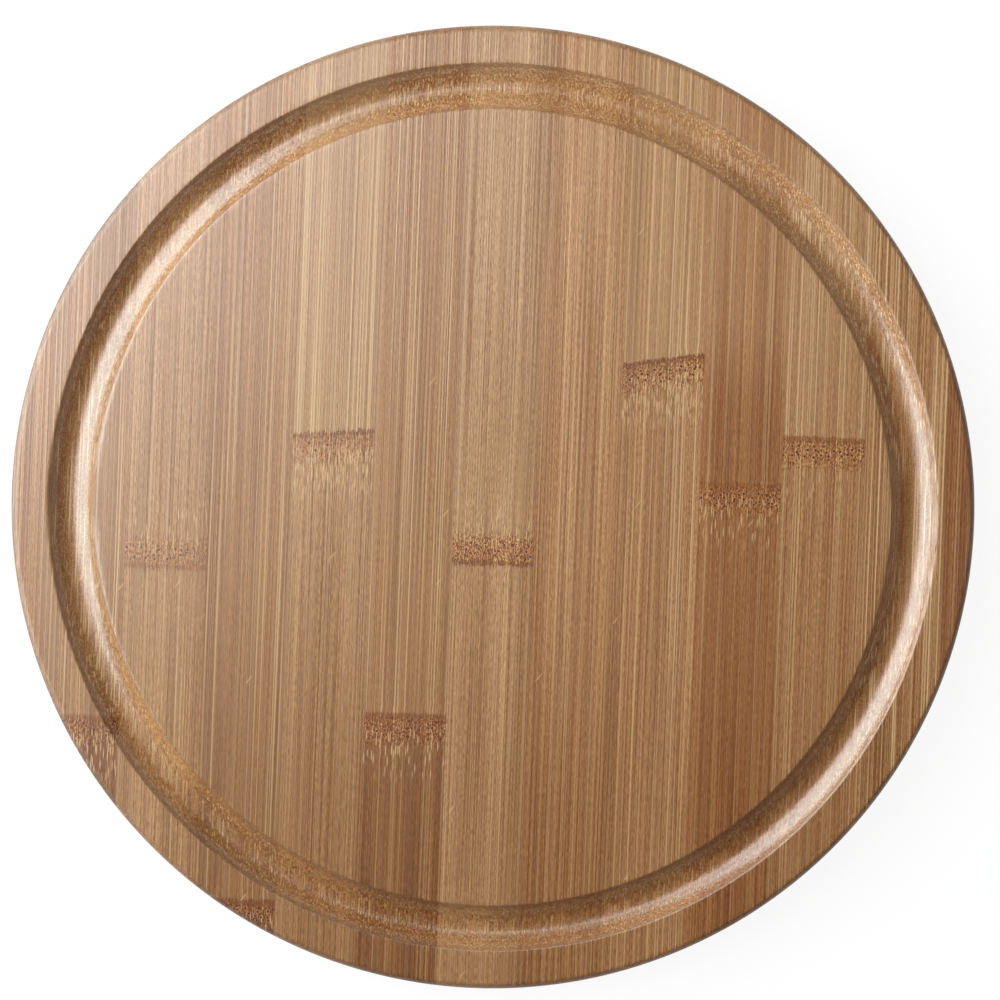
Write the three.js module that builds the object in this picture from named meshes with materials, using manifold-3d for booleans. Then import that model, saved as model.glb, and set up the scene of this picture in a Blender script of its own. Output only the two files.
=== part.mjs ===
// A round serving board of laminated bamboo. Flat strips are edge-glued into three plies, the core
// ply lies crosswise, and a round-bottomed groove runs round the top face inside a plain rim.
// Millimetres, +Z up. The origin is the centre of the underside. The face strips run along Y.
import * as THREE from "three";
import { mergeVertices, toCreasedNormals } from "three/addons/utils/BufferGeometryUtils.js";
import Module from "manifold-3d";

const wasm = await Module();
wasm.setup();

// Board
const boardDiameter = 300;
const topEdgeRadius = 2; // rounded edge between the rim and the side
const bottomEdgeRadius = 2.5; // rounded edge between the side and the underside

// Groove
const rimWidth = 12; // from the side to the groove
const grooveWidth = 14;
const grooveDepth = 4;
const grooveFloor = 3; // wood left in the top ply under the groove
const grooveEdgeRadius = 0.8; // rounded edges where the groove meets the face and the rim

// Plies and strips
const facePly = grooveDepth + grooveFloor; // the top and the bottom ply are alike, so the board stays flat
const corePly = 5.8; // the crosswise ply between them
const glueLine = 0.1; // left open between strips, and between plies
const stripPitch = 25.4; // from one glued joint to the next
const middleStripOffset = 0.5; // how far the top ply's middle strip lies off the board's centre
const narrowestOffcut = 9; // an outermost strip narrower than this is left as part of its neighbour

// Facets
const turnSegments = 120;
const grooveSteps = 10; // along the groove's round bottom
const edgeSteps = 3; // along a rounded edge
const creaseAngle = Math.PI / 6; // faces that meet at less than this are shaded as one

const boardRadius = boardDiameter / 2;
const coreBottom = facePly + glueLine;
const coreTop = coreBottom + corePly;
const topBottom = coreTop + glueLine;
const boardTop = topBottom + facePly;

// Tones of steamed bamboo, and the tone of each strip from the middle of its ply outwards
const tones = {
  pale: "#cda679",
  rosy: "#c39a75",
  tan: "#c0956a",
  brown: "#a87a50",
  dark: "#8f5e3a",
};
const topTones = {
  middle: ["pale"],
  left: ["tan", "pale", "rosy", "pale", "rosy", "rosy"],
  right: ["tan", "tan", "brown", "tan", "tan", "dark"],
};
const coreTones = {
  near: ["tan", "pale", "tan", "brown", "tan", "pale"],
  far: ["tan", "brown", "tan", "pale", "tan", "brown"],
};
const bottomTones = {
  left: ["pale", "tan", "pale", "brown", "rosy", "tan"],
  right: ["tan", "rosy", "brown", "pale", "tan", "pale"],
};

function bamboo(tone) {
  return new THREE.MeshStandardMaterial({ color: tones[tone], roughness: 0.55, metalness: 0 });
}

// A closed geometry as a solid that can be cut.
function solidOf(geometry) {
  const bare = geometry.clone();
  bare.deleteAttribute("normal");
  bare.deleteAttribute("uv");
  const merged = mergeVertices(bare);
  return new wasm.Manifold(
    new wasm.Mesh({
      numProp: 3,
      vertProperties: merged.attributes.position.array,
      triVerts: new Uint32Array(merged.index.array),
    }),
  );
}

// A solid as a geometry, shaded smooth along its round surfaces and sharp at its corners.
function geometryOf(solid) {
  const { vertProperties, triVerts } = solid.getMesh();
  const geometry = new THREE.BufferGeometry();
  geometry.setAttribute("position", new THREE.BufferAttribute(vertProperties, 3));
  geometry.setIndex(new THREE.BufferAttribute(triVerts, 1));
  return toCreasedNormals(geometry, creaseAngle);
}

// A profile of (radius, height) points, from the axis round to the axis again, turned about Z.
function turned(profile) {
  return solidOf(new THREE.LatheGeometry(profile, turnSegments).rotateX(Math.PI / 2));
}

// Points along an arc in the (radius, height) plane, both ends included.
function arc(centre, radius, from, to, steps) {
  return Array.from({ length: steps + 1 }, (_, i) => {
    const angle = from + ((to - from) * i) / steps;
    return new THREE.Vector2(
      centre.x + radius * Math.cos(angle),
      centre.y + radius * Math.sin(angle),
    );
  });
}

// The groove's section, from its rim side to its face side: a rounded edge, a round bottom, and a
// rounded edge. Each rounded edge touches the flat top and the round bottom without a crease.
function grooveSection() {
  const middle = boardRadius - rimWidth - grooveWidth / 2;
  const bottomRadius = ((grooveWidth / 2) ** 2 + grooveDepth ** 2) / (2 * grooveDepth);
  const bottomCentre = new THREE.Vector2(middle, boardTop - grooveDepth + bottomRadius);
  const edgeHeight = boardTop - grooveEdgeRadius;
  const rise = bottomCentre.y - edgeHeight;
  const reach = Math.sqrt((bottomRadius + grooveEdgeRadius) ** 2 - rise ** 2);
  const slope = Math.atan2(rise, reach); // where the round bottom hands over to a rounded edge
  const outerEdge = new THREE.Vector2(middle + reach, edgeHeight);
  const innerEdge = new THREE.Vector2(middle - reach, edgeHeight);
  return [
    ...arc(outerEdge, grooveEdgeRadius, Math.PI / 2, Math.PI - slope, edgeSteps),
    ...arc(bottomCentre, bottomRadius, -slope, slope - Math.PI, grooveSteps).slice(1, -1),
    ...arc(innerEdge, grooveEdgeRadius, slope, Math.PI / 2, edgeSteps),
  ];
}

function topPly() {
  const edge = new THREE.Vector2(boardRadius - topEdgeRadius, boardTop - topEdgeRadius);
  return turned([
    new THREE.Vector2(0, topBottom),
    new THREE.Vector2(boardRadius, topBottom),
    ...arc(edge, topEdgeRadius, 0, Math.PI / 2, edgeSteps),
    ...grooveSection(),
    new THREE.Vector2(0, boardTop),
  ]);
}

function middlePly() {
  return turned([
    new THREE.Vector2(0, coreBottom),
    new THREE.Vector2(boardRadius, coreBottom),
    new THREE.Vector2(boardRadius, coreTop),
    new THREE.Vector2(0, coreTop),
  ]);
}

function bottomPly() {
  const edge = new THREE.Vector2(boardRadius - bottomEdgeRadius, bottomEdgeRadius);
  return turned([
    new THREE.Vector2(0, 0),
    ...arc(edge, bottomEdgeRadius, -Math.PI / 2, 0, edgeSteps),
    new THREE.Vector2(boardRadius, facePly),
    new THREE.Vector2(0, facePly),
  ]);
}

// The strips on one side of a ply as [inner joint, outer joint], from the first joint outwards.
// The last one reaches past the board's side, which trims it.
function spansOutwards(firstJoint, direction) {
  const farthestJoint = boardRadius - narrowestOffcut;
  const room = Math.max(0, farthestJoint - direction * firstJoint);
  const wholeStrips = Math.floor(room / stripPitch);
  const joints = Array.from(
    { length: wholeStrips + 1 },
    (_, i) => firstJoint + direction * i * stripPitch,
  );
  joints.push(direction * (boardRadius + glueLine));
  return joints.slice(0, -1).map((joint, i) => [joint, joints[i + 1]]);
}

// A ply whose middle strip lies at an offset from the board's centre.
function spansRoundMiddle(offset) {
  const half = stripPitch / 2;
  return {
    left: spansOutwards(offset - half, -1),
    middle: [[offset - half, offset + half]],
    right: spansOutwards(offset + half, 1),
  };
}

// A ply with a joint on the board's centre.
function spansFromCentre(lowSide, highSide) {
  return { [lowSide]: spansOutwards(0, -1), [highSide]: spansOutwards(0, 1) };
}

// Cuts one strip out of a ply, short of its two joints by half a glue line each.
function strip(ply, [jointA, jointB], turn, tone) {
  const width = Math.abs(jointB - jointA) - glueLine;
  const slab = new THREE.BoxGeometry(width, 2 * boardDiameter, 2 * boardTop);
  slab.translate((jointA + jointB) / 2, 0, boardTop / 2).rotateZ(turn);
  return new THREE.Mesh(geometryOf(ply.intersect(solidOf(slab))), bamboo(tone));
}

// Cuts a whole ply into named strips. A quarter turn lays them crosswise.
function strips(name, ply, spans, sideTones, turn = 0) {
  const group = new THREE.Group();
  for (const [side, sideSpans] of Object.entries(spans)) {
    sideSpans.forEach((span, i) => {
      const mesh = strip(ply, span, turn, sideTones[side][i % sideTones[side].length]);
      mesh.name = side === "middle" ? `${name}_middle` : `${name}_${side}_${i + 1}`;
      group.add(mesh);
    });
  }
  return group;
}

const crosswise = Math.PI / 2;
const board = new THREE.Group();
board.add(
  strips("top_strip", topPly(), spansRoundMiddle(middleStripOffset), topTones),
  strips("core_strip", middlePly(), spansFromCentre("near", "far"), coreTones, crosswise),
  strips("bottom_strip", bottomPly(), spansFromCentre("left", "right"), bottomTones),
);

export default board;
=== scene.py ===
"""Looks of a round serving board of laminated bamboo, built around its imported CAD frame.

The board lies flat with its groove upwards. Its top and bottom strips run along Y and its core strips
along X. Every strip is a closed surface of its own, with bamboo fibres that run along it.
"""
import math
from typing import NamedTuple

import bmesh
import bpy
import numpy as np
from bpy.props import FloatProperty, FloatVectorProperty, PointerProperty
from mathutils import Euler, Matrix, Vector


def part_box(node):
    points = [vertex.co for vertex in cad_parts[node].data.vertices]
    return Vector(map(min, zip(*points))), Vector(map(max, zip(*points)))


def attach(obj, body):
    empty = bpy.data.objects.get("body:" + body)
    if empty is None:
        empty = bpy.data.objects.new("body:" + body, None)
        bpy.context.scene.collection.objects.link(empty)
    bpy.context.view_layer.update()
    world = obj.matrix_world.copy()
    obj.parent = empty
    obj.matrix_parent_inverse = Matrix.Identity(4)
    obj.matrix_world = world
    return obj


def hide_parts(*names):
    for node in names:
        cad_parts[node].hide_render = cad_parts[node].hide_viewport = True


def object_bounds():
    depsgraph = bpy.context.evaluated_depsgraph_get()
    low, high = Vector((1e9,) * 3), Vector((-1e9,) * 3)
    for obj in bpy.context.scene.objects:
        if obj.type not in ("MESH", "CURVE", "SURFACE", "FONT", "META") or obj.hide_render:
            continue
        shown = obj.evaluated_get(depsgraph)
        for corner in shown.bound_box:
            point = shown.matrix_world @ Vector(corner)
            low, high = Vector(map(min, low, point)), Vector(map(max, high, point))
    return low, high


bl_info = {
    "name": "Bamboo serving board",
    "version": (1, 0, 0),
    "blender": (4, 5, 0),
    "location": "View3D > Sidebar > Board",
    "description": "Builds a round laminated bamboo board with a groove around its top face",
    "category": "Add Mesh",
}

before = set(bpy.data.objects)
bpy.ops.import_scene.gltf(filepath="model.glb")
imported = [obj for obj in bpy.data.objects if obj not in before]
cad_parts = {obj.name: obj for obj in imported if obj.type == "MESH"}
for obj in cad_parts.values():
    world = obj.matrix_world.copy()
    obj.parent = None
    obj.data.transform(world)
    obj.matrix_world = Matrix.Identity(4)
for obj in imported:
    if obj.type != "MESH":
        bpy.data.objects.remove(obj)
CAD_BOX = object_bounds()

MM = 0.001
PER_MM = 1000.0
PHOTO_SIDE = 1000  # pixels
SENSOR_WIDTH = 36.0  # millimetres

# Facets
STATIONS = 25  # across a strip
EDGE_STEPS = 6  # along a rounded edge
GROOVE_STEPS = 22  # along the groove's round bottom
EVEN_STEPS = 60  # along half a strip
MERGE_DISTANCE = 1e-7
SHARP_ANGLE = math.radians(35)


class Knuckle(NamedTuple):
    """Where a cane's joint crosses a strip, and how strong each of its marks is.

    Its place is in millimetres along the strip. Its marks lie on the far side of its scar (1) or on the
    near side (-1), where the tone changes too. Pale streaks run up to the scar from the other side, or
    stop at a distance before it, where a brown stain begins.
    """

    place: float
    side: int
    lean: float = 0.0
    scar: float = 1.0
    tangle: float = 1.0
    pores: float = 0.6
    dashes: float = 0.7
    streaks: float = 0.5
    stop: float = 0.0
    shade: float = 1.0


NO_KNUCKLE = Knuckle(0.0, 1, scar=0.0, tangle=0.0, pores=0.0, dashes=0.0, streaks=0.0)


class StripLook(NamedTuple):
    """How a strip differs from its tone: its lines, its shades in the middle and at the sides, and at its
    ends shades that are partly painted light and shade, lighter at the far end and darker at the near one,
    and partly the strip's own tone.
    """

    tone: str
    shade: float = 1.0
    lines: float = 0.5
    # far and near: partly painted light and shade, lighter at the far end and darker at the near one as
    # light falls off along the board, partly the strip's own tone
    far: float = 1.0
    near: float = 1.0
    left: float = 1.0
    right: float = 1.0
    knuckle: Knuckle = NO_KNUCKLE


# The far and near shades of each look are partly painted light and shade, a falloff of light along the
# board, and partly the strip's own tone
TOP_LOOKS = {
    "top_strip_left_6": StripLook("rosy", 1.0, 0.4),
    "top_strip_left_5": StripLook(
        "rosy", 0.87, 0.4, 0.9, 0.95,
        knuckle=Knuckle(-69.7, -1, scar=0.3, pores=0.2, dashes=0.6, shade=0.78),
    ),
    "top_strip_left_4": StripLook(
        "pale", 1.12, 0.4, 1.07, 0.92, 1.0, 0.86,
        Knuckle(-23.2, 1, scar=0.5, tangle=0.7, dashes=0.3, streaks=0.2),
    ),
    "top_strip_left_3": StripLook(
        "rosy", 0.94, 0.45, 1.1, 0.8, 0.93,
        knuckle=Knuckle(-125.1, -1, pores=0.9, shade=0.65),
    ),
    "top_strip_left_2": StripLook(
        "pale", 1.1, 0.3, 0.93, 0.78, 1.06, 1.0,
        Knuckle(21.5, -1, lean=0.11, tangle=0.65, pores=0.3, dashes=1.0, streaks=1.0),
    ),
    "top_strip_left_1": StripLook(
        "tan", 0.97, 0.5, 1.06, 0.9, 1.08, 1.0,
        Knuckle(-65.3, -1, scar=0.7, pores=0.4, dashes=0.35, streaks=0.4, shade=0.82),
    ),
    "top_strip_middle": StripLook(
        "pale", 1.15, 0.4, 1.08, 0.9, 1.0, 0.84,
        Knuckle(-18.1, 1, dashes=0.2, streaks=0.0, shade=1.06),
    ),
    "top_strip_right_1": StripLook("tan", 1.26, 0.5, 1.1, 0.76, 0.87, 0.88),
    "top_strip_right_2": StripLook(
        "tan", 1.25, 0.75, 0.96, 0.87, 0.95, 1.0,
        Knuckle(48.0, -1, lean=0.16, tangle=0.8, pores=1.0, dashes=1.0, streaks=1.0),
    ),
    "top_strip_right_3": StripLook(
        "brown", 1.31, 0.35, 1.07, 0.89, 1.12, 1.0,
        Knuckle(
            10.5, -1, scar=0.5, tangle=0.85, pores=1.0, dashes=0.4, streaks=0.6, stop=36.0, shade=0.94
        ),
    ),
    "top_strip_right_4": StripLook(
        "tan", 1.16, 0.5, 1.12, 0.84,
        knuckle=Knuckle(25.5, -1, scar=0.6, tangle=0.8, pores=1.0, dashes=0.2, streaks=0.55),
    ),
    "top_strip_right_5": StripLook("tan", 1.22, 1.0, 1.06, 0.9),
    "top_strip_right_6": StripLook("dark", 1.13, 0.4),
}
CORE_TONES = {
    "near": ("tan", "pale", "tan", "brown", "tan", "pale"),
    "far": ("tan", "brown", "tan", "pale", "tan", "brown"),
}
BOTTOM_TONES = {
    "left": ("pale", "tan", "pale", "brown", "rosy", "tan"),
    "right": ("tan", "rosy", "brown", "pale", "tan", "pale"),
}
BOTTOM_KNUCKLES = {
    "left": (38.0, -84.0, 6.0, 71.0, -30.0, 20.0),
    "right": (-52.0, 17.0, 95.0, -8.0, -66.0, 34.0),
}


def quantity(label, text, default, **limits):
    """A number, named for the panel."""
    return FloatProperty(name=label, description=text, default=default, **limits)


def length(label, text, default):
    """A size in metres, named for the panel."""
    return quantity(label, text, default, min=0.0, unit="LENGTH", precision=5)


def factor(label, text, default):
    """A share from nought to one, named for the panel."""
    return quantity(label, text, default, min=0.0, max=1.0, subtype="FACTOR")


def colour(label, text, default):
    """A linear colour, named for the panel."""
    return FloatVectorProperty(
        name=label, description=text, default=default, min=0.0, max=1.0, size=3, subtype="COLOR"
    )


class BoardSizes(bpy.types.PropertyGroup):
    """Sizes of the edges and the groove. The board's own size comes from the frame."""

    rim_width: length("Rim width", "From the board's side to the groove", 12.0 * MM)
    groove_width: length("Groove width", "Across the groove at the face", 14.0 * MM)
    groove_depth: length("Groove depth", "From the face to the groove's bottom", 4.0 * MM)
    groove_edge: length("Groove edge radius", "Rounding where the groove meets the flats", 0.8 * MM)
    top_edge: length("Top edge radius", "Rounding between the rim and the side", 2.0 * MM)
    bottom_edge: length("Bottom edge radius", "Rounding between the side and the underside", 2.5 * MM)
    glue_line: length("Glue line", "Room between strips that the glue fills", 0.1 * MM)


class BambooTones(bpy.types.PropertyGroup):
    """Colours of the steamed bamboo, and of the marks in it."""

    pale: colour("Pale", "Palest strips", (0.35, 0.171, 0.07))
    rosy: colour("Rosy", "Light strips with a pink cast", (0.338, 0.153, 0.056))
    tan: colour("Tan", "Middling strips", (0.332, 0.148, 0.054))
    brown: colour("Brown", "Darker strips", (0.256, 0.094, 0.027))
    dark: colour("Dark", "Darkest strips", (0.258, 0.098, 0.034))
    cream: colour("Cream", "Palest fibres", (0.68, 0.435, 0.225))
    russet: colour("Russet", "Scars and other brown marks of a knuckle", (0.17, 0.046, 0.008))
    soot: colour("Soot", "Pores", (0.12, 0.022, 0.004))


class BoardFinish(bpy.types.PropertyGroup):
    """The lacquered surface."""

    roughness: factor("Roughness", "Middle roughness of the lacquered face", 0.275)
    groove_roughness: factor("Groove roughness", "Middle roughness of the lacquered groove", 0.255)
    arris_roughness: factor("Arris roughness", "Roughness of the groove's sanded edges", 0.42)
    edge_roughness: factor("Edge roughness", "Roughness of the sanded outer edge", 0.5)
    ior: quantity("IOR", "Refractive index of the lacquered bamboo", 1.9, min=1.0)
    relief: factor("Grain relief", "How far the fibres stand out", 0.4)


class StudioSettings(bpy.types.PropertyGroup):
    """The camera and the lamps."""

    camera_height: length("Camera height", "Above the floor", 0.95)
    camera_roll: quantity("Camera roll", "Turn about the line of sight", math.radians(2.2), unit="ROTATION")
    board_radius_px: quantity("Board radius", "Half the board, in pixels", 481.4)
    board_x_px: quantity("Board place X", "Board's middle, pixels from the left", 493.0)
    board_y_px: quantity("Board place Y", "Board's middle, pixels from the top", 507.0)
    side_power: quantity("Side power", "Large panel on the left", 35.0, unit="POWER")
    ceiling_power: quantity("Ceiling power", "Panel above", 6.3, unit="POWER")
    wall_light: factor("Wall light", "Brightness of the white surroundings", 1.0)
    ceiling_light: factor("Ceiling light", "Brightness straight above", 0.05)


def sizes():
    """The sizes that the panel shows."""
    return bpy.context.scene.board_sizes


def board_radius():
    """Half the board's width, from the frame."""
    return CAD_BOX[1][0]


def face_height():
    """Height of the board's top face, from the frame."""
    return CAD_BOX[1][2]


# Shapes


class Groove(NamedTuple):
    """The groove's section: a round bottom about a point above the face, and two rounded edges."""

    middle: float
    bottom_radius: float
    centre_height: float
    edge_radius: float
    edge_height: float
    reach: float

    def handover(self):
        """Distance from the groove's middle at which the round bottom meets a rounded edge."""
        return self.reach * self.bottom_radius / (self.bottom_radius + self.edge_radius)


def groove_section():
    """Arcs that touch: the bottom passes through the groove's width and depth, each edge touches it.

    The bottom's radius is the half width squared plus the depth squared, over twice the depth. An edge's
    centre lies as far from the bottom's as both radii together, which gives its reach.
    """
    made = sizes()
    face = face_height()
    half = made.groove_width / 2
    bottom_radius = (half**2 + made.groove_depth**2) / (2 * made.groove_depth)
    centre_height = face - made.groove_depth + bottom_radius
    edge_height = face - made.groove_edge
    rise = centre_height - edge_height
    reach = math.sqrt((bottom_radius + made.groove_edge) ** 2 - rise**2)
    middle = board_radius() - made.rim_width - half
    return Groove(middle, bottom_radius, centre_height, made.groove_edge, edge_height, reach)


def circle_rise(offset, radius):
    """Height of a circle above its centre: the root of the radius squared less the offset squared."""
    return np.sqrt(np.maximum(radius**2 - offset**2, 0.0))


def top_height(radius):
    """Height of the top at a distance from the axis: flat, the groove's arcs and the side's round edge."""
    groove = groove_section()
    face = face_height()
    edge = sizes().top_edge
    aside = np.abs(radius - groove.middle)
    past = radius - (board_radius() - edge)
    bottom = groove.centre_height - circle_rise(aside, groove.bottom_radius)
    groove_edge = groove.edge_height + circle_rise(groove.reach - aside, groove.edge_radius)
    side_edge = face - edge + circle_rise(past, edge)
    cases = [aside < groove.handover(), aside < groove.reach, past > 0.0]
    return np.select(cases, [bottom, groove_edge, side_edge], face)


def bottom_height(radius):
    """Height of the underside at a distance from the axis: flat, with the side's round edge."""
    edge = sizes().bottom_edge
    past = np.maximum(radius - (board_radius() - edge), 0.0)
    return edge - circle_rise(past, edge)


def level(height):
    """A flat face at a height."""
    return lambda radius: np.full_like(radius, height)


def edge_rings(edge):
    """Radii along a quarter circle at the board's side: its centre's, plus its own times a cosine."""
    turn = np.linspace(0.0, math.pi / 2, EDGE_STEPS + 1)
    return board_radius() - edge + edge * np.cos(turn)


def groove_rings():
    """Radii along the groove's arcs: each arc's middle, give or take its radius times a sine."""
    groove = groove_section()
    steepest = math.asin(groove.handover() / groove.bottom_radius)
    bottom = groove.bottom_radius * np.sin(np.linspace(-steepest, steepest, GROOVE_STEPS + 1))
    lean = np.linspace(0.0, steepest, EDGE_STEPS, endpoint=False)
    edge = groove.reach - groove.edge_radius * np.sin(lean)
    return groove.middle + np.concatenate([-edge, bottom, edge])


def strip_grid(low, high, rings):
    """Places on a strip, as two arrays of one row per station across it.

    Stations lie at equal turns of the board's circle. Along the strip, points lie where the rings cross
    the station, y = sqrt(ring^2 - x^2), and at even steps between them, sorted from one end to the other.
    """
    radius = board_radius()
    turns = np.linspace(math.asin(max(low / radius, -1.0)), math.asin(min(high / radius, 1.0)), STATIONS)
    across = radius * np.sin(turns)
    crossing = np.sqrt(np.maximum(np.square(rings)[None, :] - np.square(across)[:, None], 0.0))
    reach = np.sqrt(np.maximum(radius**2 - across**2, 0.0))
    even = reach[:, None] * np.linspace(0.0, 1.0, EVEN_STEPS + 1)[None, 1:]
    half = np.sort(np.concatenate([crossing, even], axis=1), axis=1)
    along = np.concatenate([-half[:, ::-1], half], axis=1)
    return np.broadcast_to(across[:, None], along.shape), along


def wall_faces(first, second):
    """Quads between two rows of vertex numbers."""
    return np.stack([first[:-1], first[1:], second[1:], second[:-1]], axis=-1).reshape(-1, 4)


def grid_faces(numbers):
    """Quads over a grid of vertex numbers."""
    corners = [numbers[:-1, :-1], numbers[1:, :-1], numbers[1:, 1:], numbers[:-1, 1:]]
    return np.stack(corners, axis=-1).reshape(-1, 4)


def strip_mesh(name, low, high, upper, lower, rings, crosswise=False):
    """A closed strip between two faces that are given as heights over the distance from the axis.

    The upper and the lower face share one grid, and four walls close them. Points that fall together,
    where a ring lies inside a station, are merged.
    """
    across, along = strip_grid(low, high, rings)
    distance = np.hypot(across, along)
    plan = (along, across) if crosswise else (across, along)
    top = np.stack([*plan, upper(distance)], axis=-1)
    base = np.stack([*plan, lower(distance)], axis=-1)
    count = across.size
    above = np.arange(count).reshape(across.shape)
    below = above + count
    walls = [
        wall_faces(above[0], below[0]),
        wall_faces(above[-1], below[-1]),
        wall_faces(above[:, 0], below[:, 0]),
        wall_faces(above[:, -1], below[:, -1]),
    ]
    faces = np.concatenate([grid_faces(above), grid_faces(below), *walls])
    points = np.concatenate([top.reshape(-1, 3), base.reshape(-1, 3)])
    mesh = bpy.data.meshes.new(name)
    mesh.from_pydata(points, [], faces.tolist())
    close_mesh(mesh)
    return mesh


def close_mesh(mesh):
    """Merges points that fall together, turns the faces outwards and shades the rounds smooth."""
    work = bmesh.new()
    work.from_mesh(mesh)
    bmesh.ops.remove_doubles(work, verts=work.verts, dist=MERGE_DISTANCE)
    bmesh.ops.dissolve_degenerate(work, edges=work.edges, dist=MERGE_DISTANCE)
    bmesh.ops.recalc_face_normals(work, faces=work.faces)
    work.to_mesh(mesh)
    work.free()
    mesh.shade_smooth()
    mesh.set_sharp_from_angle(angle=SHARP_ANGLE)


# Materials


class Grain(NamedTuple):
    """A layer of soft streaks: one streak's size across, along and up in millimetres, and two tints."""

    size: tuple
    detail: float
    low: tuple
    high: tuple


BANDS = Grain((6.0, 300.0, 9.0), 2.0, (0.92, 0.9, 0.88), (1.08, 1.1, 1.12))
STREAKS = Grain((0.9, 300.0, 1.1), 1.0, (0.95, 0.93, 0.91), (1.05, 1.07, 1.09))
FIBRES = Grain((0.26, 150.0, 0.32), 1.0, (0.7, 0.58, 0.45), (1.3, 1.42, 1.55))
FLECKS = Grain((0.26, 1.8, 0.26), 1.0, (0.76, 0.72, 0.68), (1.24, 1.28, 1.32))
GRAIN_LOW = 0.3  # noise at which a layer has its low tint
GRAIN_HIGH = 0.7  # noise at which it has its high one
NOISE_MIDDLE = 0.5
NOISE_ROUGHNESS = 0.6
SWAY_SIZE = (20.0, 160.0, 20.0)
SWAY = (0.5, 0.0, 0.5)  # how far fibres drift aside
SEED_STEP = (61.7, 213.1, 0.0)  # sets one strip's pattern apart from the next one's

# Bundles of fibres, in cells
BUNDLE_SIZE = (0.8, 0.8, 1.0)  # across, up
BUNDLE_RANDOMNESS = 0.7
BUNDLE_EDGE = 0.36
BUNDLE_CORE = 0.2
PALE_CHANCE = (0.0, 0.7)
FADE_SIZE = (0.9, 150.0, 0.9)
FADE = (0.3, 0.6)
STREAK_BOOST = 0.45  # of the lines before a scar
STREAK_PALING = 0.2  # of the tone before a scar
CUT_BOOST = 0.2  # of the lines in the groove
GAP_TINT = (0.83, 0.78, 0.73)

# Knuckles, in millimetres past the scar: where a mark starts, is full, fades and ends
SCAR = (-0.5, 0.0, 0.7, 2.2)
BAND = (-0.2, 0.5, 5.5, 12.0)
TANGLE = (0.3, 1.4, 7.0, 12.0)
PORES = (2.0, 2.8, 6.6, 8.0)
DASHES = (2.5, 6.5, 15.0, 24.0)
STREAKS_START = (-0.2, 0.6)  # before the scar
STREAKS_END = (240.0, 60.0)  # before the scar
STOP_SOFTNESS = 0.6  # of the streaks' stop, for each millimetre before the scar
BEYOND = (2.0, 14.0)
STAIN = (0.0, -1.0)
NEAR_KNUCKLE = (-8.0, -1.0, 9.0, 22.0)

# Noise of the knuckles: its size in millimetres, and its reach or its soft step
RAGGED_SIZE = (0.5, 400.0, 9.0)
RAGGED = 3.0
WAVY_SIZE = (4.0, 400.0, 9.0)
WAVY = 1.3
GAPS_SIZE = (2.2, 400.0, 9.0)
GAPS = (0.3, 0.42)
SPECK_SIZE = (0.5, 0.7, 9.0)
SPECKS = (0.35, 0.55)
SWIRL_SIZE = (2.4, 2.6, 9.0)
SWIRL = (1.5, 1.6, 0.0)
TANGLE_SIZE = (0.42, 0.9, 9.0)
TANGLED = (0.4, 0.6)
WOBBLE_SIZE = (2.2, 5.0, 9.0)
WOBBLE = 1.3

# Spots of the knuckles: the size of their cells, and where in a cell they end and are full
PORE_SIZE = (2.1, 2.1, 1.0)
PORE_EDGE = 0.24
PORE_CORE = 0.16
HALO_EDGE = 0.36
DASH_SIZE = (0.62, 6.0, 1.0)
DASH_EDGE = 0.34
DASH_CORE = 0.18

# Tints and strengths of the knuckles
STAIN_SHADE = 0.9
BAND_TINT = (0.88, 0.73, 0.57)
PLAIN_SHARE = 0.5  # at which the tangle's two tints leave a tone as it is
TANGLE_LOW = (0.5, 0.23, 0.1)
TANGLE_HIGH = (1.5, 1.77, 1.9)
SCAR_STRENGTH = 0.95
PORE_STRENGTH = 1.0
HALO_STRENGTH = 0.3
DASH_STRENGTH = 0.7

# Nicks, small pale scratches
NICK_SIZE = (6.0, 50.0, 1.0)
NICK_TURN = math.radians(38.0)
NICK_EDGE = 0.045
NICK_CORE = 0.015
NICK_SHARE = 0.09
NICK_STRENGTH = 0.6

# Cut and glued places, in millimetres
CUT_DEPTH = (0.15, 0.8)  # below the face
# Darker and redder in the groove: partly painted shade in the recess, partly the cut bamboo's own colour
GROOVE_TINT_AND_PAINTED_SHADE = (0.94, 0.83, 0.68)
CUT_SPECK_SIZE = (0.45, 0.6, 0.45)
CUT_SPECKS = (0.52, 0.6)
CUT_SPECK_STRENGTH = 0.5
ARRIS = (0.005, 0.08, 0.6, 1.7)  # below the face
# Painted shade: the groove's edges darkened where shade falls as its walls curve over into the face
ARRIS_PAINTED_SHADE = (0.83, 0.83, 0.83)
EDGE_START = 2.4  # in from the board's side
EDGE_FULL = 0.6
EDGE_TINT = (0.84, 0.8, 0.76)
JOINT_WIDTH = 0.35
JOINT_CORE = 0.05
JOINT_SIZE = (40.0, 22.0, 40.0)
JOINT_STRENGTH = 0.35

# Tints and shades
PLAIN_TINT = (1.0, 1.0, 1.0)
REDDER = (1.0, 1.4, 2.0)  # how much faster green and blue fade than red in darker wood
# A strip's far and near shades are partly painted light and shade, a falloff of light from the far end to
# the near one
END_REACH = 110.0  # from the board's middle to where a strip has its far or near shade
SIDE_REACH = 8.0  # from a strip's joint to where its side's shade ends

# Surface
ROUGHNESS_SPREAD = 0.03
BUNDLE_RELIEF = 0.4
FIBRE_RELIEF = 0.6
SCAR_RELIEF = 0.5

# Places of the colour sockets on a Mix node
MIX_SHARE = 0
MIX_FIRST = 6
MIX_SECOND = 7
MIX_RESULT = 2


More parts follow.
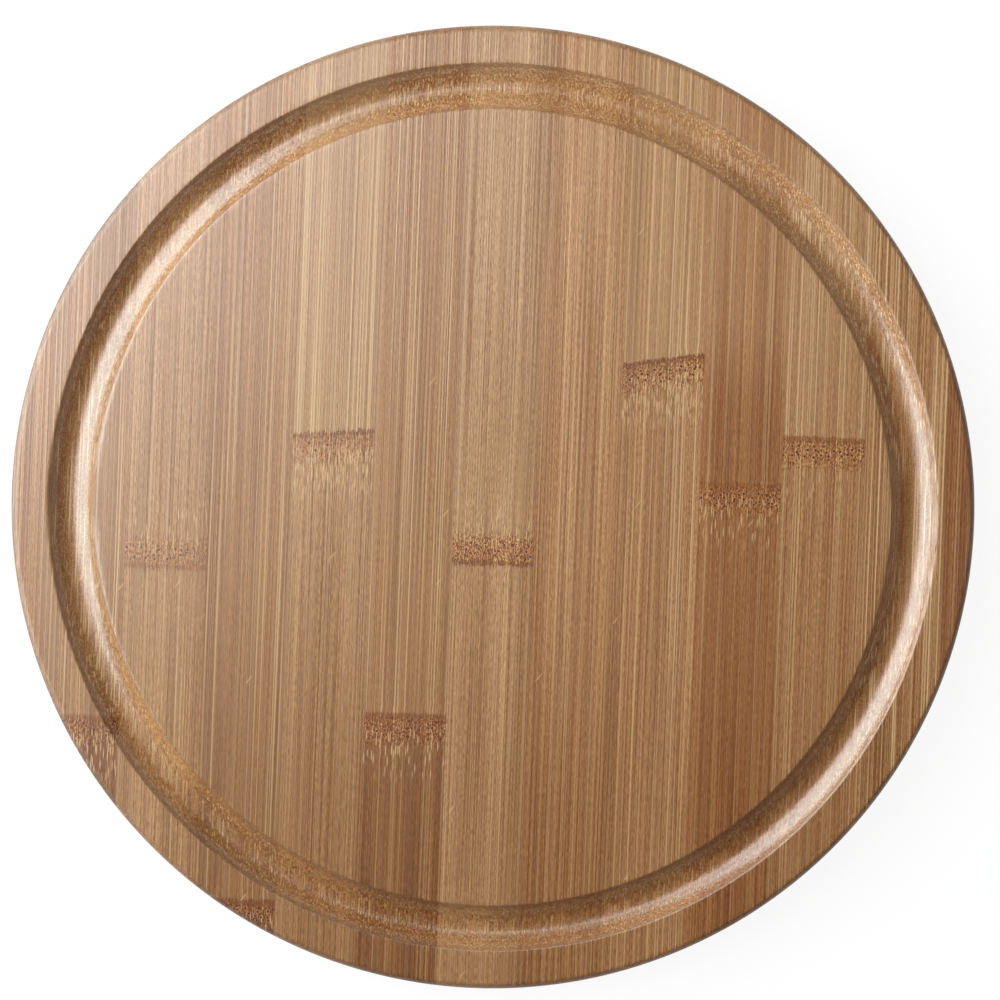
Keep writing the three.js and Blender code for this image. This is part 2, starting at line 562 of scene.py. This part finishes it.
class Wiring:
    """Adds nodes to a node tree and joins them up."""

    def __init__(self, tree):
        self.tree = tree

    def feed(self, socket, value):
        """Links a socket to another, or sets its value."""
        if isinstance(value, bpy.types.NodeSocket):
            self.tree.links.new(value, socket)
        else:
            socket.default_value = value

    def node(self, kind, inputs=None, **settings):
        """A node with its settings, its inputs fed by name or number."""
        made = self.tree.nodes.new(kind)
        for name, value in settings.items():
            setattr(made, name, value)
        for name, value in (inputs or {}).items():
            self.feed(made.inputs[name], value)
        return made

    def math(self, operation, *values):
        """The result of an operation on numbers."""
        made = self.node("ShaderNodeMath", operation=operation)
        for socket, value in zip(made.inputs, values):
            self.feed(socket, value)
        return made.outputs[0]

    def add(self, first, second):
        return self.math("ADD", first, second)

    def less(self, first, second):
        return self.math("SUBTRACT", first, second)

    def times(self, first, second):
        return self.math("MULTIPLY", first, second)

    def smooth(self, value, start, end, low=0.0, high=1.0):
        """A soft step of a value from one level to another."""
        inputs = {"Value": value, "From Min": start, "From Max": end, "To Min": low, "To Max": high}
        return self.node("ShaderNodeMapRange", inputs, interpolation_type="SMOOTHSTEP").outputs[0]

    def between(self, share, low, high):
        """A soft step from one level to another as a share goes from nought to one."""
        return self.smooth(share, 0.0, 1.0, low, high)

    def window(self, value, marks):
        """One between the middle two of four marks, nought before the first and after the last."""
        start, full, fade, end = marks
        return self.times(self.smooth(value, start, full), self.smooth(value, end, fade))

    def vector(self, operation, first, second):
        """The result of an operation on two vectors."""
        made = self.node("ShaderNodeVectorMath", operation=operation)
        self.feed(made.inputs[0], first)
        self.feed(made.inputs[1], second)
        return made.outputs[0]

    def point(self, x, y, z):
        """A vector made of three numbers."""
        return self.node("ShaderNodeCombineXYZ", {"X": x, "Y": y, "Z": z}).outputs[0]

    def parts(self, place):
        """The three numbers of a vector, by their letters."""
        return self.node("ShaderNodeSeparateXYZ", {"Vector": place}).outputs

    def scaled(self, place, size):
        """A place counted in features of a size."""
        return self.vector("MULTIPLY", place, tuple(1.0 / side for side in size))

    def noise(self, place, size, detail=1.0, output="Fac"):
        """Soft noise whose features have a size in millimetres: across, along and up."""
        inputs = {
            "Vector": self.scaled(place, size),
            "Scale": 1.0,
            "Detail": detail,
            "Roughness": NOISE_ROUGHNESS,
        }
        return self.node("ShaderNodeTexNoise", inputs).outputs[output]

    def spread(self, place, size, reach):
        """Noise about nought, up to half a reach to either side."""
        return self.times(self.less(self.noise(place, size), NOISE_MIDDLE), reach)

    def spread_vector(self, place, size, reach):
        """A noise vector about nought, up to half a reach to either side."""
        about_nought = self.vector("SUBTRACT", self.noise(place, size, output="Color"), (NOISE_MIDDLE,) * 3)
        return self.vector("MULTIPLY", about_nought, reach)

    def cells(self, place, size, randomness=1.0):
        """Flat cells of a size in millimetres: the distance from a cell's middle, and its own chance."""
        inputs = {"Vector": self.scaled(place, size), "Scale": 1.0, "Randomness": randomness}
        made = self.node("ShaderNodeTexVoronoi", inputs, voronoi_dimensions="2D")
        chance = self.node("ShaderNodeSeparateColor", {"Color": made.outputs["Color"]}).outputs["Red"]
        return made.outputs["Distance"], chance

    def spots(self, place, size, share, edge, core):
        """Soft spots in the middles of a share of flat cells."""
        distance, chance = self.cells(place, size)
        return self.times(self.smooth(distance, edge, core), self.math("LESS_THAN", chance, share))

    def mix(self, share, first, second, blend="MIX"):
        """One colour mixed with another."""
        made = self.node("ShaderNodeMix", data_type="RGBA", blend_type=blend)
        self.feed(made.inputs[MIX_SHARE], share)
        self.feed(made.inputs[MIX_FIRST], first)
        self.feed(made.inputs[MIX_SECOND], second)
        return made.outputs[MIX_RESULT]

    def paint(self, tone, share, strength, ink):
        """A tone covered by another with a share and a strength."""
        return self.mix(self.times(share, strength), tone, rgba(ink))

    def tint(self, tone, share, high, low=PLAIN_TINT):
        """A tone times a tint that goes from the low one to the high one with a share."""
        return self.mix(1.0, tone, self.mix(share, rgba(low), rgba(high)), "MULTIPLY")

    def shade(self, tone, amount):
        """A tone times an amount, redder as it darkens."""
        red, green, blue = (self.math("POWER", amount, power) for power in REDDER)
        shaded = self.node("ShaderNodeCombineColor", {"Red": red, "Green": green, "Blue": blue})
        return self.mix(1.0, tone, shaded.outputs[0], "MULTIPLY")

    def grain(self, tone, place, layer):
        """A tone with a layer of streaks in it, and the streaks."""
        streaks = self.smooth(self.noise(place, layer.size, layer.detail), GRAIN_LOW, GRAIN_HIGH)
        return self.tint(tone, streaks, layer.high, layer.low), streaks


def rgba(tint):
    """A colour with its alpha."""
    return (*tint, 1.0)


PLACE_INPUT = "Place"
TONE_INPUT = "Tone"
# Far and Near carry a strip's shades at its ends, partly painted light and shade
LOOK_INPUTS = ("Lines", "Far", "Near", "Left", "Right")
STRIP_INPUTS = ("Seed", "Middle", "Half width", "Face height", *LOOK_INPUTS)
KNUCKLE_INPUTS = tuple(f"Knuckle {name}" for name in Knuckle._fields)
GROUP_INPUTS = {
    PLACE_INPUT: "NodeSocketVector",
    TONE_INPUT: "NodeSocketColor",
    **dict.fromkeys((*STRIP_INPUTS, *KNUCKLE_INPUTS), "NodeSocketFloat"),
}
GROUP_OUTPUTS = {"Colour": "NodeSocketColor", "Roughness": "NodeSocketFloat", "Height": "NodeSocketFloat"}


class KnuckleMarks(NamedTuple):
    """Masks of a knuckle's marks, and how far fibres are past its scar."""

    near: object
    scar: object
    band: object
    tangle: object
    pores: object
    halo: object
    dashes: object
    streaks: object
    stain: object
    past: object


def knuckle_marks(wire, given, across, along, own):
    """A cane's joint: a ragged scar, a brown band of tangled fibres with pores, and short pale dashes."""
    joint = Knuckle(*(given[name] for name in KNUCKLE_INPUTS))
    from_scar = wire.less(wire.less(along, joint.place), wire.times(across, joint.lean))
    past = wire.times(from_scar, joint.side)
    ragged = wire.add(wire.spread(own, RAGGED_SIZE, RAGGED), wire.spread(own, WAVY_SIZE, WAVY))
    edge = wire.add(past, ragged)

    # The scar breaks off in places, and the band's fibres lie twisted
    unbroken = wire.smooth(wire.noise(own, GAPS_SIZE), *GAPS)
    specks = wire.smooth(wire.noise(own, SPECK_SIZE), *SPECKS)
    scar = wire.times(wire.window(edge, SCAR), joint.scar)
    twisted = wire.vector("ADD", own, wire.spread_vector(own, SWIRL_SIZE, SWIRL))
    tangled = wire.smooth(wire.noise(twisted, TANGLE_SIZE), *TANGLED)
    tangle = wire.times(wire.window(edge, TANGLE), joint.tangle)
    pore_distance, pore_chance = wire.cells(own, PORE_SIZE)
    kept = wire.times(wire.math("LESS_THAN", pore_chance, joint.pores), wire.window(past, PORES))
    dashes = wire.spots(own, DASH_SIZE, joint.dashes, DASH_EDGE, DASH_CORE)

    # Streaks run up to the scar from the other side, or stop before it at the stain
    before = wire.less(wire.times(edge, -1.0), joint.stop)
    softness = wire.times(joint.stop, STOP_SOFTNESS)
    streak_start, streak_full = STREAKS_START
    ramp = wire.smooth(before, wire.less(streak_start, softness), wire.add(streak_full, softness))
    streaks = wire.times(ramp, wire.smooth(before, *STREAKS_END))
    return KnuckleMarks(
        near=wire.times(wire.window(past, NEAR_KNUCKLE), joint.tangle),
        scar=wire.times(scar, wire.times(unbroken, specks)),
        band=wire.times(wire.window(edge, BAND), joint.tangle),
        tangle=wire.add(PLAIN_SHARE, wire.times(wire.less(tangled, PLAIN_SHARE), tangle)),
        pores=wire.times(wire.smooth(pore_distance, PORE_EDGE, PORE_CORE), kept),
        halo=wire.times(wire.smooth(pore_distance, HALO_EDGE, PORE_EDGE), kept),
        dashes=wire.times(dashes, wire.window(edge, DASHES)),
        streaks=wire.times(streaks, joint.streaks),
        stain=wire.times(wire.less(1.0, ramp), wire.smooth(past, *STAIN)),
        past=past,
    )


class Cuts(NamedTuple):
    """Masks of the board's outer edge, of the groove, and of the groove's two edges."""

    edge: object
    groove: object
    arris: object


def cut_places(wire, given, across, along, depth):
    """The outer edge by its distance from the axis, and the groove and its edges by their depth."""
    from_centre = wire.point(wire.add(across, given["Middle"]), along, 0.0)
    radius = wire.node("ShaderNodeVectorMath", {0: from_centre}, operation="LENGTH").outputs["Value"]
    side = board_radius() * PER_MM
    edge = wire.smooth(radius, side - EDGE_START, side - EDGE_FULL)
    groove = wire.times(wire.smooth(depth, *CUT_DEPTH), wire.less(1.0, edge))
    return Cuts(edge, groove, wire.window(depth, ARRIS))


def fibre_places(wire, own, near):
    """Places along the fibres, which drift a little along the strip, and more beside a knuckle."""
    sway = wire.spread_vector(own, SWAY_SIZE, SWAY)
    bend = wire.point(wire.times(near, WOBBLE), 0.0, 0.0)
    wobble = wire.spread_vector(own, WOBBLE_SIZE, bend)
    return wire.vector("ADD", wire.vector("ADD", own, sway), wobble)


def bundle_places(wire, fibre):
    """Masks of the bundles of fibres, which run along the strip, and of the pale ones."""
    parts = wire.parts(fibre)
    layer = wire.add(parts["Z"], BUNDLE_SIZE[1] / 2)
    section = wire.point(parts["X"], layer, 0.0)
    distance, chance = wire.cells(section, BUNDLE_SIZE, BUNDLE_RANDOMNESS)
    bundle = wire.smooth(distance, BUNDLE_EDGE, BUNDLE_CORE)
    unfaded = wire.smooth(wire.noise(fibre, FADE_SIZE), *FADE)
    pale = wire.times(wire.smooth(chance, *PALE_CHANCE), unfaded)
    return bundle, wire.times(bundle, pale)


def nick_places(wire, own):
    """Mask of the nicks, which lie aslant."""
    turning = {"Vector": own, "Angle": NICK_TURN}
    turned = wire.node("ShaderNodeVectorRotate", turning, rotation_type="Z_AXIS").outputs[0]
    return wire.spots(turned, NICK_SIZE, NICK_SHARE, NICK_EDGE, NICK_CORE)


def strip_shades_and_painted_light(wire, tone, given, across, along, knuckle):
    """A tone with the strip's shades at its ends, partly painted light and shade and partly its own tone,
    and its own shades at its sides, beyond its knuckle and in its stain.
    """
    from_left = wire.add(given["Half width"], across)
    from_right = wire.less(given["Half width"], across)
    shades = (
        # Far and near: painted light and shade of a falloff of light, partly the strip's own tone
        (along, 0.0, END_REACH, given["Far"]),
        (along, 0.0, -END_REACH, given["Near"]),
        (from_left, SIDE_REACH, 0.0, given["Left"]),
        (from_right, SIDE_REACH, 0.0, given["Right"]),
        (knuckle.past, *BEYOND, given["Knuckle shade"]),
        (knuckle.stain, 0.0, 1.0, STAIN_SHADE),
    )
    for distance, start, end, shade in shades:
        tone = wire.shade(tone, wire.smooth(distance, start, end, 1.0, shade))
    return tone


def mark_knuckle(wire, tone, knuckle, tones):
    """A tone with a knuckle's band, tangle, dashes, scar and pores."""
    tone = wire.tint(tone, knuckle.band, BAND_TINT)
    tone = wire.tint(tone, knuckle.tangle, TANGLE_HIGH, TANGLE_LOW)
    tone = wire.paint(tone, knuckle.dashes, DASH_STRENGTH, tones.cream)
    tone = wire.paint(tone, knuckle.halo, HALO_STRENGTH, tones.cream)
    tone = wire.paint(tone, knuckle.scar, SCAR_STRENGTH, tones.russet)
    return wire.paint(tone, knuckle.pores, PORE_STRENGTH, tones.soot)


def surface_roughness(wire, cuts, streaks):
    """Roughness of the face, the groove and the sanded edges, a little uneven along the streaks."""
    finish = bpy.context.scene.board_finish
    rough = wire.between(cuts.groove, finish.roughness, finish.groove_roughness)
    rough = wire.between(cuts.arris, rough, finish.arris_roughness)
    rough = wire.between(cuts.edge, rough, finish.edge_roughness)
    return wire.add(rough, wire.between(streaks, ROUGHNESS_SPREAD, -ROUGHNESS_SPREAD))


def bamboo_group():
    """Bamboo fibres along a strip, in millimetres: bundles, bands, a knuckle and the glued joints, with
    painted light and shade at the strip's ends, painted shade along the groove's edges, and a darker groove
    that is partly painted shade.
    """
    name = "bamboo_fibres"
    if name in bpy.data.node_groups:
        return bpy.data.node_groups[name]
    tones = bpy.context.scene.bamboo_tones
    tree = bpy.data.node_groups.new(name, "ShaderNodeTree")
    for label, kind in GROUP_INPUTS.items():
        tree.interface.new_socket(label, in_out="INPUT", socket_type=kind)
    for label, kind in GROUP_OUTPUTS.items():
        tree.interface.new_socket(label, in_out="OUTPUT", socket_type=kind)
    wire = Wiring(tree)
    given = wire.node("NodeGroupInput").outputs
    result = wire.node("NodeGroupOutput").inputs
    place = wire.parts(given[PLACE_INPUT])
    across, along = place["X"], place["Y"]

    # Every strip has its own part of the pattern, and its heights count from its face
    depth = wire.less(given["Face height"], place["Z"])
    shift = wire.point(*(wire.times(given["Seed"], step) for step in SEED_STEP))
    own = wire.vector("ADD", wire.point(across, along, depth), shift)
    knuckle = knuckle_marks(wire, given, across, along, own)
    cuts = cut_places(wire, given, across, along, depth)

    # Streaks along the fibres, from broad bands to fine flecks
    fibre = fibre_places(wire, own, knuckle.near)
    tone, _ = wire.grain(given[TONE_INPUT], fibre, BANDS)
    tone, streaks = wire.grain(tone, fibre, STREAKS)
    tone, fibres = wire.grain(tone, fibre, FIBRES)
    tone, _ = wire.grain(tone, fibre, FLECKS)

    # The surface cut by the groove, darker and redder: partly painted shade in the recess, partly the cut
    # bamboo's own colour, with pale cut specks
    cut_specks = wire.smooth(wire.noise(own, CUT_SPECK_SIZE), *CUT_SPECKS)
    tone = wire.tint(tone, cuts.groove, GROOVE_TINT_AND_PAINTED_SHADE)
    tone = wire.paint(tone, wire.times(cut_specks, cuts.groove), CUT_SPECK_STRENGTH, tones.cream)

    # Pale bundles, stronger before a scar and in the groove, with darker gaps between them
    bundle, pale_bundle = bundle_places(wire, fibre)
    boost = wire.add(wire.times(knuckle.streaks, STREAK_BOOST), wire.times(cuts.groove, CUT_BOOST))
    strength = wire.math("MINIMUM", wire.add(given["Lines"], boost), 1.0)
    tone = wire.tint(tone, strength, GAP_TINT)
    tone = wire.paint(tone, knuckle.streaks, STREAK_PALING, tones.cream)
    tone = wire.paint(tone, pale_bundle, strength, tones.cream)

    # Painted light and shade at the strip's ends, and the strip's own shades at its sides, past its knuckle
    # and in its stain
    tone = strip_shades_and_painted_light(wire, tone, given, across, along, knuckle)
    tone = mark_knuckle(wire, tone, knuckle, tones)

    # Painted shade along the groove's edges, the outer edge darker, the glued joints and a few nicks
    tone = wire.tint(tone, cuts.arris, ARRIS_PAINTED_SHADE)
    tone = wire.tint(tone, cuts.edge, EDGE_TINT)
    from_joint = wire.less(given["Half width"], wire.math("ABSOLUTE", across))
    glue = wire.times(wire.smooth(from_joint, JOINT_WIDTH, JOINT_CORE), wire.noise(own, JOINT_SIZE))
    tone = wire.paint(tone, glue, JOINT_STRENGTH, tones.russet)
    tone = wire.paint(tone, nick_places(wire, own), NICK_STRENGTH, tones.cream)
    wire.feed(result["Colour"], tone)
    wire.feed(result["Roughness"], surface_roughness(wire, cuts, streaks))
    height = wire.add(wire.times(bundle, BUNDLE_RELIEF), wire.times(fibres, FIBRE_RELIEF))
    wire.feed(result["Height"], wire.less(height, wire.times(knuckle.scar, SCAR_RELIEF)))
    return tree


BUMP_DEPTH = 0.04 * MM


def bamboo_material(name, look, seed, middle, half_width, face, crosswise):
    """One strip's bamboo: the shared fibres, centred on the strip and turned along it."""
    tones = bpy.context.scene.bamboo_tones
    finish = bpy.context.scene.board_finish
    made = bpy.data.materials.new(name)
    made.use_nodes = True
    made.node_tree.nodes.clear()
    wire = Wiring(made.node_tree)
    turn = math.pi / 2 if crosswise else 0.0
    shift = middle * PER_MM if crosswise else -middle * PER_MM
    place = wire.node(
        "ShaderNodeMapping",
        {
            "Vector": wire.node("ShaderNodeTexCoord").outputs["Object"],
            "Location": (shift, 0.0, 0.0),
            "Rotation": (0.0, 0.0, turn),
            "Scale": (PER_MM, PER_MM, PER_MM),
        },
    )
    tone = tuple(part * look.shade**power for part, power in zip(getattr(tones, look.tone), REDDER))
    look_values = [getattr(look, label.lower()) for label in LOOK_INPUTS]
    strip_values = (seed, -shift, half_width * PER_MM, face * PER_MM, *look_values)
    settings = {
        PLACE_INPUT: place.outputs[0],
        TONE_INPUT: rgba(tone),
        **dict(zip(STRIP_INPUTS, strip_values)),
        **dict(zip(KNUCKLE_INPUTS, map(float, look.knuckle))),
    }
    fibres = wire.node("ShaderNodeGroup", settings, node_tree=bamboo_group())
    bump = wire.node(
        "ShaderNodeBump",
        {"Strength": finish.relief, "Distance": BUMP_DEPTH, "Height": fibres.outputs["Height"]},
    )
    shader = wire.node(
        "ShaderNodeBsdfPrincipled",
        {
            "Base Color": fibres.outputs["Colour"],
            "Roughness": fibres.outputs["Roughness"],
            "Normal": bump.outputs["Normal"],
            "IOR": finish.ior,
        },
    )
    wire.node("ShaderNodeOutputMaterial", {"Surface": shader.outputs[0]})
    return made


# Pieces


def add_piece(name, mesh):
    """Puts a mesh into the scene at the origin."""
    piece = bpy.data.objects.new(name, mesh)
    bpy.context.scene.collection.objects.link(piece)
    return piece


def add_strip(node, look, seed, upper, lower, rings, crosswise=False):
    """One strip in the place of its CAD node, out to the middle of the glue at its joints."""
    half_glue = sizes().glue_line / 2
    axis = 1 if crosswise else 0
    box_low, box_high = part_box(node)
    low = max(box_low[axis] - half_glue, -board_radius())
    high = min(box_high[axis] + half_glue, board_radius())
    name = f"bamboo_{node}"
    piece = add_piece(name, strip_mesh(name, low, high, upper, lower, rings, crosswise))
    middle = (low + high) / 2
    face = face_height() if upper is top_height else 0.0  # only the top ply has a groove
    material = bamboo_material(name, look, seed, middle, (high - low) / 2, face, crosswise)
    piece.data.materials.append(material)
    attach(piece, "root")
    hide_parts(node)


def ply_gap(lower_node, upper_node):
    """Height of the middle of the glue between two plies."""
    return (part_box(lower_node)[1][2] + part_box(upper_node)[0][2]) / 2


def lower_glue():
    """Height of the glue under the core ply."""
    return ply_gap("bottom_strip_left_1", "core_strip_near_1")


def upper_glue():
    """Height of the glue on the core ply."""
    return ply_gap("core_strip_near_1", "top_strip_middle")


class BOARD_OT_top_strips(bpy.types.Operator):
    """Adds the strips of the top ply, with the groove across them"""

    bl_idname = "board.add_top_strips"
    bl_label = "Top strips"

    def execute(self, context):
        rings = np.concatenate([edge_rings(sizes().top_edge), groove_rings()])
        for seed, (node, look) in enumerate(TOP_LOOKS.items(), start=1):
            add_strip(node, look, float(seed), top_height, level(upper_glue()), rings)
        return {"FINISHED"}


class BOARD_OT_core_strips(bpy.types.Operator):
    """Adds the strips of the core ply, which lie crosswise"""

    bl_idname = "board.add_core_strips"
    bl_label = "Core strips"

    def execute(self, context):
        seed = len(TOP_LOOKS)
        rings = np.array([board_radius()])
        upper, lower = level(upper_glue()), level(lower_glue())
        for side, names in CORE_TONES.items():
            for number, tone in enumerate(names, start=1):
                seed += 1
                node = f"core_strip_{side}_{number}"
                add_strip(node, StripLook(tone), float(seed), upper, lower, rings, crosswise=True)
        return {"FINISHED"}


class BOARD_OT_bottom_strips(bpy.types.Operator):
    """Adds the strips of the bottom ply"""

    bl_idname = "board.add_bottom_strips"
    bl_label = "Bottom strips"

    def execute(self, context):
        seed = len(TOP_LOOKS) + sum(len(names) for names in CORE_TONES.values())
        rings = edge_rings(sizes().bottom_edge)
        for side, names in BOTTOM_TONES.items():
            for number, (tone, place) in enumerate(zip(names, BOTTOM_KNUCKLES[side]), start=1):
                seed += 1
                knuckle = Knuckle(place, 1 if number % 2 else -1)
                look = StripLook(tone, knuckle=knuckle)
                node = f"bottom_strip_{side}_{number}"
                add_strip(node, look, float(seed), level(lower_glue()), bottom_height, rings)
        return {"FINISHED"}


# Stage


FLOOR_SIDE = 16.0
FLOOR_DROP = 0.05 * MM
SIDE_BEARING = math.radians(163.0)  # counter-clockwise from the picture's right
SIDE_ELEVATION = math.radians(31.5)
SIDE_DISTANCE = 1.3
SIDE_SIZE = (1.6, 1.41)
SIDE_COLOUR = (0.93, 1.04, 1.05)  # cool daylight
CEILING_PLACE = Vector((-0.509, 0.227, 1.3))
CEILING_SIZE = (0.8, 0.5)
CEILING_TURN = math.radians(45.0)
CEILING_COLOUR = (1.05, 0.98, 0.96)
FLOOR_COLOUR = (0.8, 0.8, 0.8, 1.0)
FLOOR_SHADE = (0.1, 0.1, 0.1, 1.0)
FLOOR_GLOW = 0.92
WALL_TOP = (0.1, 0.45)  # sines of the elevations at which the walls begin to darken and end


def add_camera(studio):
    """A camera straight above, placed so that the board's side has its radius and place in the picture."""
    data = bpy.data.cameras.new("camera")
    data.sensor_width = SENSOR_WIDTH
    rim_height = face_height() - sizes().top_edge
    distance = studio.camera_height - rim_height
    data.lens = SENSOR_WIDTH * studio.board_radius_px / PHOTO_SIDE * distance / board_radius()
    pixel = board_radius() / studio.board_radius_px
    turn = Euler((0.0, 0.0, studio.camera_roll))
    aside = Vector((PHOTO_SIDE / 2 - studio.board_x_px, studio.board_y_px - PHOTO_SIDE / 2, 0.0)) * pixel
    aside.rotate(turn)
    camera = bpy.data.objects.new("camera", data)
    camera.location = aside + Vector((0.0, 0.0, studio.camera_height))
    camera.rotation_euler = turn
    bpy.context.scene.collection.objects.link(camera)
    bpy.context.scene.camera = camera


def add_lamp(name, size, place, turn, power, tint):
    """A soft rectangular lamp, which shines along its own -Z."""
    data = bpy.data.lights.new(name, "AREA")
    data.shape = "RECTANGLE"
    data.size, data.size_y = size
    data.energy = power
    data.color = tint
    lamp = bpy.data.objects.new(name, data)
    lamp.location = place
    lamp.rotation_euler = turn
    lamp.visible_camera = False
    bpy.context.scene.collection.objects.link(lamp)


def add_side_panel(power):
    """A large panel beside the board that faces it."""
    aside = math.cos(SIDE_ELEVATION)
    plan = (aside * math.cos(SIDE_BEARING), aside * math.sin(SIDE_BEARING))
    towards = Vector((*plan, math.sin(SIDE_ELEVATION)))
    turn = (-towards).to_track_quat("-Z", "Y").to_euler()
    add_lamp("side_panel", SIDE_SIZE, towards * SIDE_DISTANCE, turn, power, SIDE_COLOUR)


def add_ceiling_panel(power):
    """A panel that hangs level above the board, beside the line of sight."""
    turn = Euler((0.0, 0.0, CEILING_TURN))
    add_lamp("ceiling_panel", CEILING_SIZE, CEILING_PLACE, turn, power, CEILING_COLOUR)


def floor_material():
    """Pale floor: lit as a pale surface, and seen as white with the board's shadow left in it."""
    made = bpy.data.materials.new("floor")
    made.use_nodes = True
    made.node_tree.nodes.clear()
    wire = Wiring(made.node_tree)
    ray = wire.node("ShaderNodeLightPath").outputs
    seen = wire.math("MAXIMUM", ray["Is Camera Ray"], ray["Is Glossy Ray"])
    seen = wire.math("MAXIMUM", seen, ray["Is Transmission Ray"])
    shade = wire.mix(seen, FLOOR_COLOUR, FLOOR_SHADE)
    matt = wire.node("ShaderNodeBsdfDiffuse", {"Color": shade})
    glow = wire.node("ShaderNodeEmission", {"Strength": wire.times(seen, FLOOR_GLOW)})
    both = wire.node("ShaderNodeAddShader")
    wire.feed(both.inputs[0], matt.outputs[0])
    wire.feed(both.inputs[1], glow.outputs[0])
    wire.node("ShaderNodeOutputMaterial", {"Surface": both.outputs[0]})
    return made


def add_floor():
    """A level square just under the board."""
    half = FLOOR_SIDE / 2
    square = ((-half, -half), (half, -half), (half, half), (-half, half))
    corners = [(x, y, -FLOOR_DROP) for x, y in square]
    mesh = bpy.data.meshes.new("floor")
    mesh.from_pydata(corners, [], [(0, 1, 2, 3)])
    mesh.materials.append(floor_material())
    add_piece("floor", mesh)


def add_surroundings(studio):
    """White walls all round that darken towards the ceiling."""
    world = bpy.data.worlds.new("surroundings")
    world.use_nodes = True
    world.node_tree.nodes.clear()
    wire = Wiring(world.node_tree)
    up = wire.parts(wire.node("ShaderNodeTexCoord").outputs["Generated"])["Z"]
    strength = wire.smooth(up, *WALL_TOP, studio.wall_light, studio.ceiling_light)
    back = wire.node("ShaderNodeBackground", {"Strength": strength})
    wire.node("ShaderNodeOutputWorld", {"Surface": back.outputs[0]})
    bpy.context.scene.world = world


class BOARD_OT_stage(bpy.types.Operator):
    """Adds the camera, the lamps, the pale floor and the white surroundings"""

    bl_idname = "board.add_stage"
    bl_label = "Stage"

    def execute(self, context):
        studio = context.scene.studio_settings
        add_camera(studio)
        add_side_panel(studio.side_power)
        add_ceiling_panel(studio.ceiling_power)
        add_floor()
        add_surroundings(studio)
        context.scene.view_settings.view_transform = "Standard"
        return {"FINISHED"}


class BOARD_PT_panel(bpy.types.Panel):
    """Lists the steps that build the board"""

    bl_label = "Bamboo serving board"
    bl_idname = "BOARD_PT_panel"
    bl_space_type = "VIEW_3D"
    bl_region_type = "UI"
    bl_category = "Board"

    def draw(self, context):
        for step in OPERATORS:
            self.layout.operator(step.bl_idname)
        for name in SETTINGS:
            group = getattr(context.scene, name)
            for setting in group.bl_rna.properties.keys():
                if setting not in ("rna_type", "name"):
                    self.layout.prop(group, setting)


OPERATORS = (BOARD_OT_stage, BOARD_OT_top_strips, BOARD_OT_core_strips, BOARD_OT_bottom_strips)
SETTINGS = {
    "board_sizes": BoardSizes,
    "bamboo_tones": BambooTones,
    "board_finish": BoardFinish,
    "studio_settings": StudioSettings,
}


def register():
    """Makes the settings, the steps and the panel known to Blender."""
    for group in (*SETTINGS.values(), *OPERATORS, BOARD_PT_panel):
        bpy.utils.register_class(group)
    for name, group in SETTINGS.items():
        setattr(bpy.types.Scene, name, PointerProperty(type=group))


def unregister():
    """Takes the settings, the steps and the panel away again."""
    for name in SETTINGS:
        delattr(bpy.types.Scene, name)
    for group in reversed((*SETTINGS.values(), *OPERATORS, BOARD_PT_panel)):
        bpy.utils.unregister_class(group)


def main():
    register()
    bpy.ops.board.add_stage()
    bpy.ops.board.add_top_strips()
    bpy.ops.board.add_core_strips()
    bpy.ops.board.add_bottom_strips()


if __name__ == "__main__":
    main()
